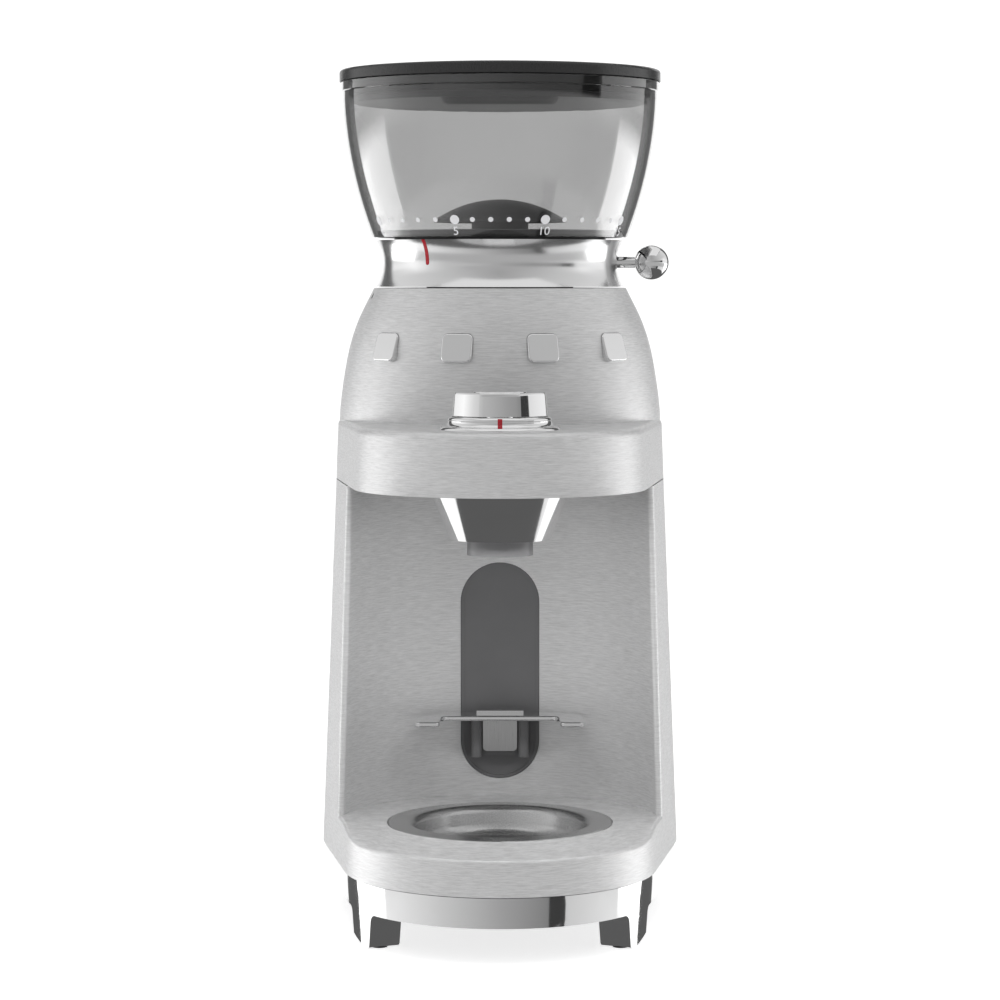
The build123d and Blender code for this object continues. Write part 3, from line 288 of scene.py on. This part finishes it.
def add_piece(name, bm, material, body):
    """Makes a piece of the visual model that rides on a body."""
    mesh = bpy.data.meshes.new(name)
    bm.normal_update()
    bm.to_mesh(mesh)
    bm.free()
    mesh.materials.append(MATERIALS[material])
    piece = bpy.data.objects.new(name, mesh)
    bpy.context.scene.collection.objects.link(piece)
    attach(piece, body)
    return piece


class Skin:
    """The outside of a lathed CAD node near one level, to lay flat marks on."""

    def __init__(self, node, z, azimuth=None):
        step = 2 * MM
        self.z = z
        levels = (z, z + step, z - step)
        self.radius, above, below = (cad_radius(node, level, GRIND_Y, azimuth) for level in levels)
        self.slope = (above - below) / (2 * step)

    def point(self, azimuth, u, v, lift):
        """Place of a mark's point: u along the ring and v up the skin from the level, in metres."""
        lean = math.atan(self.slope)
        r = self.radius + v * math.sin(lean) + lift * math.cos(lean)
        a = azimuth + u / self.radius
        z = self.z + v * math.cos(lean) - lift * math.sin(lean)
        return Vector((r * math.sin(a), GRIND_Y - r * math.cos(a), z))


def thick_mark(bm, skin, azimuth, outline):
    """Adds a thin closed plate with the given outline (u, v) to the mesh."""
    front = [bm.verts.new(skin.point(azimuth, u, v, PRINT_LIFT)) for u, v in outline]
    back = [bm.verts.new(skin.point(azimuth, u, v, -PRINT_LIFT / 4)) for u, v in outline]
    bm.faces.new(front)
    bm.faces.new(list(reversed(back)))
    count = len(outline)
    for i in range(count):
        j = (i + 1) % count
        bm.faces.new((front[j], front[i], back[i], back[j]))


def circle(radius, count=20):
    """Outline of a round mark."""
    angles = [2 * math.pi * i / count for i in range(count)]
    return [(radius * math.cos(angle), radius * math.sin(angle)) for angle in angles]


def scale_azimuth(setting):
    """The settings are evenly spaced between one large dot and the next."""
    group = min(setting // GROUP_STEPS, len(SCALE_GROUPS) - 2)
    start, end = SCALE_GROUPS[group : group + 2]
    return math.radians(start + (end - start) * (setting / GROUP_STEPS - group))


def print_dots():
    """One dot per setting, larger where a number stands."""
    bm = bmesh.new()
    skin = Skin("hopper", DOT_Z)
    for setting in range(LAST_SETTING + 1):
        radius = LARGE_DOT_R if setting % GROUP_STEPS == 0 else SMALL_DOT_R
        thick_mark(bm, skin, scale_azimuth(setting), circle(radius))
    add_piece("scale_dots", bm, "white_print", "hopper_body")


def print_numbers():
    """The number of every large dot, bent round the hopper."""
    bm = bmesh.new()
    skin = Skin("hopper", NUMBER_Z)
    for setting in range(0, LAST_SETTING + 1, GROUP_STEPS):
        curve = bpy.data.curves.new("number", "FONT")
        curve.body = str(setting)
        curve.size = NUMBER_SIZE
        curve.align_x = "CENTER"
        curve.align_y = "CENTER"
        curve.resolution_u = 3
        curve.extrude = PRINT_LIFT / 2
        holder = bpy.data.objects.new("number", curve)
        mesh = bpy.data.meshes.new_from_object(holder)
        for vertex in mesh.vertices:
            u, v, lift = vertex.co
            vertex.co = skin.point(scale_azimuth(setting), u, v, lift + PRINT_LIFT / 2)
        bm.from_mesh(mesh)
        bpy.data.meshes.remove(mesh)
        bpy.data.objects.remove(holder)
    add_piece("scale_numbers", bm, "white_print", "hopper_body")


ARROW_AZIMUTH = math.radians(-77)
ARROW_DROP = 3.6 * MM  # below the top of the dome
ARROW = [(-1.1, -1.0), (-0.75, -1.3), (0, 0.55), (0.75, -1.3), (1.1, -1.0), (0.2, 1.3), (-0.2, 1.3)]


def dome_arrow():
    """Small open arrow near the top of the dome, where the hopper locks."""
    bm = bmesh.new()
    skin = Skin("head_shell", head_hi.z - ARROW_DROP, ARROW_AZIMUTH)
    thick_mark(bm, skin, ARROW_AZIMUTH, [(u * MM, v * MM) for u, v in ARROW])
    add_piece("dome_arrow", bm, "dark_print", "housing")


MARK_HALF_W = 1.0 * MM
MARK_FOOT = 1.35 * MM  # above the foot of the escutcheon
MARK_TOP = 0.4 * MM  # below its top
MARK_LEVELS = 9
MARK_PROUD = 0.12 * MM
MARK_DEEP = 0.4 * MM


def knob_mark():
    """Red index that follows the front of the knob's escutcheon."""
    bm = bmesh.new()
    half = MARK_HALF_W
    low = ring_lo.z + MARK_FOOT
    high = ring_hi.z - MARK_TOP
    levels = [low + (high - low) * i / (MARK_LEVELS - 1) for i in range(MARK_LEVELS)]
    profile = [(cad_radius("knob_ring", z, KNOB_Y), z) for z in levels]
    outer = [(r + MARK_PROUD, z) for r, z in profile]
    inner = [(r - MARK_DEEP, z) for r, z in reversed(profile)]
    left, right = ([bm.verts.new((x, KNOB_Y - r, z)) for r, z in outer + inner] for x in (-half, half))
    bm.faces.new(list(reversed(left)))
    bm.faces.new(right)
    for i in range(len(left)):
        j = (i + 1) % len(left)
        bm.faces.new((left[i], left[j], right[j], right[i]))
    bmesh.ops.recalc_face_normals(bm, faces=bm.faces)
    add_piece("knob_mark", bm, "red_enamel", "housing")


KNOB_SIDES = 8
KNOB_BULGE = 0.62  # 0 leaves flat sides, 1 makes the knob round
KNOB_LEAN = 0.9 * MM
# Outer wall of the knob: share of its height, and share of KNOB_LEAN that it has moved inwards there
KNOB_LEVELS = [(0.0, 0.0), (0.55, 0.55), (0.84, 0.84), (0.925, 0.95), (0.975, 1.06), (1.0, 1.28)]
KNOB_INSET = 0.05 * MM  # inside the box of the CAD knob
KNOB_WALL = 2.7 * MM
KNOB_PLATE = 2.2 * MM
BUTTON_GAP = 0.25 * MM
RING_GAP = 0.36 * MM
SHAFT_BORE_R = 2.9 * MM
HUB_R = 6.0 * MM
WEB_FOOT = 0.3 * MM  # levels of the hub's web above the knob's foot
WEB_TOP = 2.3 * MM
WEB_BITE = 0.2 * MM  # how far the web runs into the wall
WALL_STEPS = 16  # faces per side of the knob
HUB_STEPS = 8
CREASE = math.radians(30)


def facet_radius(angle, to_flat):
    """Plan radius of an eight-sided knob with slightly bulging sides, a side facing the front."""
    side = 2 * math.pi / KNOB_SIDES
    off = (angle + side / 2) % side - side / 2
    return to_flat * (1 + (1 - KNOB_BULGE) * (1 / math.cos(off) - 1))


def lathe(bm, profile, axis_y, count):
    """Adds a closed ring of (radius, z, faceted) points turned round a vertical axis."""
    loops = []
    for radius, z, faceted in profile:
        loop = []
        for i in range(count):
            angle = 2 * math.pi * i / count
            r = facet_radius(angle, radius) if faceted else radius
            loop.append(bm.verts.new((r * math.sin(angle), axis_y - r * math.cos(angle), z)))
        loops.append(loop)
    for a, b in zip(loops, loops[1:] + loops[:1]):
        for i in range(count):
            j = (i + 1) % count
            bm.faces.new((a[i], a[j], b[j], b[i])).smooth = True


def knob_body():
    """The selector knob with bulging sides and its hub, in place of the flat-sided CAD one."""
    lo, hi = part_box("knob")
    button_lo, button_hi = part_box("start_button")
    foot = (hi.x - lo.x) / 2 - KNOB_INSET
    bore = (button_hi.x - button_lo.x) / 2 + BUTTON_GAP
    base_z = ring_hi.z + RING_GAP
    top_z = hi.z
    inside = foot - KNOB_WALL
    plate_z = top_z - KNOB_PLATE
    cup = [(inside, base_z, False)]
    cup += [(foot - KNOB_LEAN * inward, base_z + (top_z - base_z) * up, True) for up, inward in KNOB_LEVELS]
    cup += [(bore, top_z, False), (bore, plate_z, False), (inside, plate_z, False)]
    web = inside + WEB_BITE
    web_z0 = base_z + WEB_FOOT
    web_z1 = base_z + WEB_TOP
    inner = [(SHAFT_BORE_R, lo.z, False), (HUB_R, lo.z, False), (HUB_R, web_z0, False)]
    inner += [(web, web_z0, False), (web, web_z1, False), (SHAFT_BORE_R, web_z1, False)]
    bm = bmesh.new()
    lathe(bm, cup, KNOB_Y, KNOB_SIDES * WALL_STEPS)
    lathe(bm, inner, KNOB_Y, KNOB_SIDES * HUB_STEPS)
    bmesh.ops.recalc_face_normals(bm, faces=bm.faces)
    for edge in bm.edges:
        if edge.calc_face_angle(0.0) > CREASE:
            edge.smooth = False
    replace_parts(add_piece("knob_cap", bm, "chrome", "knob_body"), "knob")


print_dots()
print_numbers()
dome_arrow()
knob_mark()
knob_body()


# ---------------------------------------------------------------- studio and camera
ONE_FACE = [(0, 1, 2, 3)]


def emitter(name, strength):
    """A material that only gives light."""
    material = bpy.data.materials.new(name)
    material.use_nodes = True
    nodes = material.node_tree.nodes
    nodes.clear()
    output = nodes.new("ShaderNodeOutputMaterial")
    emission = nodes.new("ShaderNodeEmission")
    emission.inputs["Strength"].default_value = strength
    material.node_tree.links.new(emission.outputs["Emission"], output.inputs["Surface"])
    return material


def stage_mesh(name, verts, faces, material):
    """Adds a surface of the studio, which isn't part of the grinder."""
    mesh = bpy.data.meshes.new(name)
    mesh.from_pydata(verts, [], faces)
    mesh.materials.append(material)
    piece = bpy.data.objects.new(name, mesh)
    bpy.context.scene.collection.objects.link(piece)
    return piece


def level_corners(half_x, half_y, z):
    """Corners of a level rectangle round the vertical axis, facing up."""
    return [(-half_x, -half_y, z), (half_x, -half_y, z), (half_x, half_y, z), (-half_x, half_y, z)]


# Light tent round the object. Each table runs over (azimuth from the front in degrees, brightness), and
# TENT_ROWS gives each table its heights in metres. The gaps on the right leave dark lines in polished metal.
TENT_LEFT = -131
TENT_RIGHT = 128
TENT_STEP = 4
TENT_LOWEST = [
    (TENT_LEFT, 1.5), (-93, 1.35), (-92, 1.06), (-36, 0.65), (0, 0.42),
    (36, 0.25), (36.1, 0.05), (47, 0.05), (47.1, 0.71), (60, 0.78), (99, 1.02), (100, 1.4), (TENT_RIGHT, 1.5),
]
TENT_BELOW = [
    (TENT_LEFT, 3.0), (-93, 2.8), (-92, 0.7), (-60, 0.5),
    (60, 0.5), (96, 0.7), (97, 3.2), (TENT_RIGHT, 3.4),
]
TENT_ABOVE = [
    (TENT_LEFT, 0.8), (-110, 0.95), (-90, 1.2), (-72, 0.88), (-55, 0.66), (-30, 0.48),
    (30, 0.48), (55, 0.66), (72, 0.88), (88, 1.2), (108, 0.95), (TENT_RIGHT, 0.8),
]
TENT_GAP = [
    (TENT_LEFT, 1.05), (-110, 1.1), (-92, 1.25), (-72, 0.85), (-55, 0.65), (-30, 0.6),
    (10, 0.4), (30, 0.33), (60, 0.3), (61, 0.05), (76, 0.05), (77, 0.9), (108, 1.05), (TENT_RIGHT, 1.05),
]
TENT_ROOF = [(TENT_LEFT, 0.85), (-60, 0.65), (0, 0.42), (60, 0.65), (TENT_RIGHT, 0.85)]
TENT_ROWS = [
    (-1.2, TENT_LOWEST), (-0.56, TENT_LOWEST), (-0.44, TENT_BELOW), (0.08, TENT_BELOW),
    (0.24, TENT_ABOVE), (0.31, TENT_ABOVE), (0.33, TENT_GAP), (0.6, TENT_GAP),
    (0.62, TENT_ABOVE), (1.1, TENT_ROOF), (2.6, TENT_ROOF),
]
TENT_R = 1.9


def glow_at(table, azimuth):
    """Brightness between the two nearest entries of a table."""
    for (a0, g0), (a1, g1) in zip(table, table[1:]):
        if a0 <= azimuth <= a1:
            return g0 + (g1 - g0) * (azimuth - a0) / (a1 - a0)
    return 0.0


def build_tent():
    """Wall of light whose brightness runs smoothly between the tables; the camera doesn't see it."""
    azimuths = {float(a) for _, table in TENT_ROWS for a, _ in table}
    azimuths |= {float(a) for a in range(TENT_LEFT, TENT_RIGHT + 1, TENT_STEP)}
    azimuths = sorted(azimuths)
    verts, faces, glow = [], [], []
    for azimuth in azimuths:
        a = math.radians(azimuth)
        for z, table in TENT_ROWS:
            verts.append((TENT_R * math.sin(a), GRIND_Y - TENT_R * math.cos(a), z))
            glow.append(glow_at(table, azimuth))
    rows = len(TENT_ROWS)
    for i in range(len(azimuths) - 1):
        for j in range(rows - 1):
            corner = i * rows + j
            faces.append((corner, corner + 1, corner + rows + 1, corner + rows))
    material = emitter("tent", 1.0)
    tree = material.node_tree
    attribute = tree.nodes.new("ShaderNodeAttribute")
    attribute.attribute_name = "glow"
    tree.links.new(attribute.outputs["Fac"], tree.nodes["Emission"].inputs["Strength"])
    tent = stage_mesh("tent", verts, faces, material)
    tent.data.attributes.new("glow", "FLOAT", "POINT").data.foreach_set("value", glow)
    tent.visible_camera = False


def ray_value(tree, output, other, matching):
    """A number that differs for one kind of ray."""
    path = tree.nodes.new("ShaderNodeLightPath")
    value = tree.nodes.new("ShaderNodeMapRange")
    value.inputs["To Min"].default_value = other
    value.inputs["To Max"].default_value = matching
    tree.links.new(path.outputs[output], value.inputs["Value"])
    return value.outputs["Result"]


WORLD_LIGHT = 0.12
WORLD_SEEN = 1.05
WORLD_THROUGH_CLEAR = 0.4


def build_world():
    """White for the camera and through clear pieces, and dim for everything that it lights."""
    world = bpy.data.worlds.new("studio")
    world.use_nodes = True
    tree = world.node_tree
    strongest = tree.nodes.new("ShaderNodeMath")
    strongest.operation = "MAXIMUM"
    tree.links.new(ray_value(tree, "Is Camera Ray", WORLD_LIGHT, WORLD_SEEN), strongest.inputs[0])
    clear = ray_value(tree, "Is Transmission Ray", WORLD_LIGHT, WORLD_THROUGH_CLEAR)
    tree.links.new(clear, strongest.inputs[1])
    background = tree.nodes["Background"]
    background.inputs["Color"].default_value = (1, 1, 1, 1)
    tree.links.new(strongest.outputs["Value"], background.inputs["Strength"])
    bpy.context.scene.world = world


FLOOR_HALF = 1.3
FLOOR_GREY = 0.9
FLOOR_LIGHT = 0.25
FLOOR_SEEN = 0.72


def build_floor():
    """White floor that keeps the object's soft shadow; reflections and light pass it, as in a tent."""
    material = bpy.data.materials.new("studio_floor")
    material.use_nodes = True
    tree = material.node_tree
    shader = tree.nodes["Principled BSDF"]
    shader.inputs["Base Color"].default_value = (*grey(FLOOR_GREY), 1)
    shader.inputs["Roughness"].default_value = 0.9
    shader.inputs["Specular IOR Level"].default_value = 0.0
    shader.inputs["Emission Color"].default_value = (1, 1, 1, 1)
    strength = ray_value(tree, "Is Camera Ray", FLOOR_LIGHT, FLOOR_SEEN)
    tree.links.new(strength, shader.inputs["Emission Strength"])
    floor = stage_mesh("floor", level_corners(FLOOR_HALF, FLOOR_HALF, 0), ONE_FACE, material)
    floor.visible_glossy = False
    floor.visible_transmission = False
    floor.visible_shadow = False


BAY_LIGHT_HALF_W = 0.055
BAY_LIGHT_FRONT = 0.004  # behind the head's front edge
BAY_LIGHT_BACK = 0.037
BAY_LIGHT_DROP = 0.004  # below the head
BAY_LIGHT_STRENGTH = 12.0


def build_bay_light():
    """Soft light on the base from under the head's front edge, which only matt surfaces show."""
    x = BAY_LIGHT_HALF_W
    y0 = head_lo.y + BAY_LIGHT_FRONT
    y1 = head_lo.y + BAY_LIGHT_BACK
    z = head_lo.z - BAY_LIGHT_DROP
    material = emitter("bay_light", 1.0)
    tree = material.node_tree
    geometry = tree.nodes.new("ShaderNodeNewGeometry")
    one_sided = tree.nodes.new("ShaderNodeMapRange")
    one_sided.inputs["To Min"].default_value = BAY_LIGHT_STRENGTH
    one_sided.inputs["To Max"].default_value = 0.0
    tree.links.new(geometry.outputs["Backfacing"], one_sided.inputs["Value"])
    tree.links.new(one_sided.outputs["Result"], tree.nodes["Emission"].inputs["Strength"])
    corners = [(-x, y0, z), (-x, y1, z), (x, y1, z), (x, y0, z)]
    card = stage_mesh("bay_light", corners, ONE_FACE, material)
    card.visible_camera = False
    card.visible_glossy = False
    card.visible_shadow = False


BACKDROP_HALF_W = 1.2
BACKDROP_Y = 2.6
BACKDROP_FOOT = -0.6
BACKDROP_TOP = 2.2
BACKDROP_STRENGTH = 1.15
TOP_CARD = (1.1, 1.3, 1.7)  # half sizes across and deep, and its height
TOP_CARD_STRENGTH = 0.9


def build_backdrop():
    """Bright upright wall behind the object."""
    x, y = BACKDROP_HALF_W, BACKDROP_Y
    corners = [(-x, y, BACKDROP_FOOT), (x, y, BACKDROP_FOOT), (x, y, BACKDROP_TOP), (-x, y, BACKDROP_TOP)]
    stage_mesh("backdrop", corners, ONE_FACE, emitter("backdrop", BACKDROP_STRENGTH))


def build_top_card():
    """Level light above the object; the camera doesn't see it."""
    material = emitter("card_top", TOP_CARD_STRENGTH)
    stage_mesh("card_top", level_corners(*TOP_CARD), ONE_FACE, material).visible_camera = False


def build_studio():
    """White surroundings, and a light tent that is brighter at the sides than in front."""
    build_floor()
    build_tent()
    build_bay_light()
    build_backdrop()
    build_top_card()
    build_world()


CAMERA_DISTANCE = 1.4188  # in front of the hopper's axis, in metres
CAMERA_HEIGHT = 0.2914
CAMERA_PITCH = math.radians(4.18)
SENSOR_MM = 36.0
FOCAL_RATIO = 3.085  # focal length over the sensor's width


def build_camera():
    """Long lens a little above the collar, looking slightly down at the front."""
    data = bpy.data.cameras.new("camera")
    data.sensor_width = SENSOR_MM
    data.lens = FOCAL_RATIO * data.sensor_width
    data.clip_end = 20.0
    camera = bpy.data.objects.new("camera", data)
    camera.location = (0, GRIND_Y - CAMERA_DISTANCE, CAMERA_HEIGHT)
    camera.rotation_euler = (math.pi / 2 - CAMERA_PITCH, 0, 0)
    bpy.context.scene.collection.objects.link(camera)
    bpy.context.scene.camera = camera


build_studio()
build_camera()
bpy.context.scene.view_settings.view_transform = "Standard"
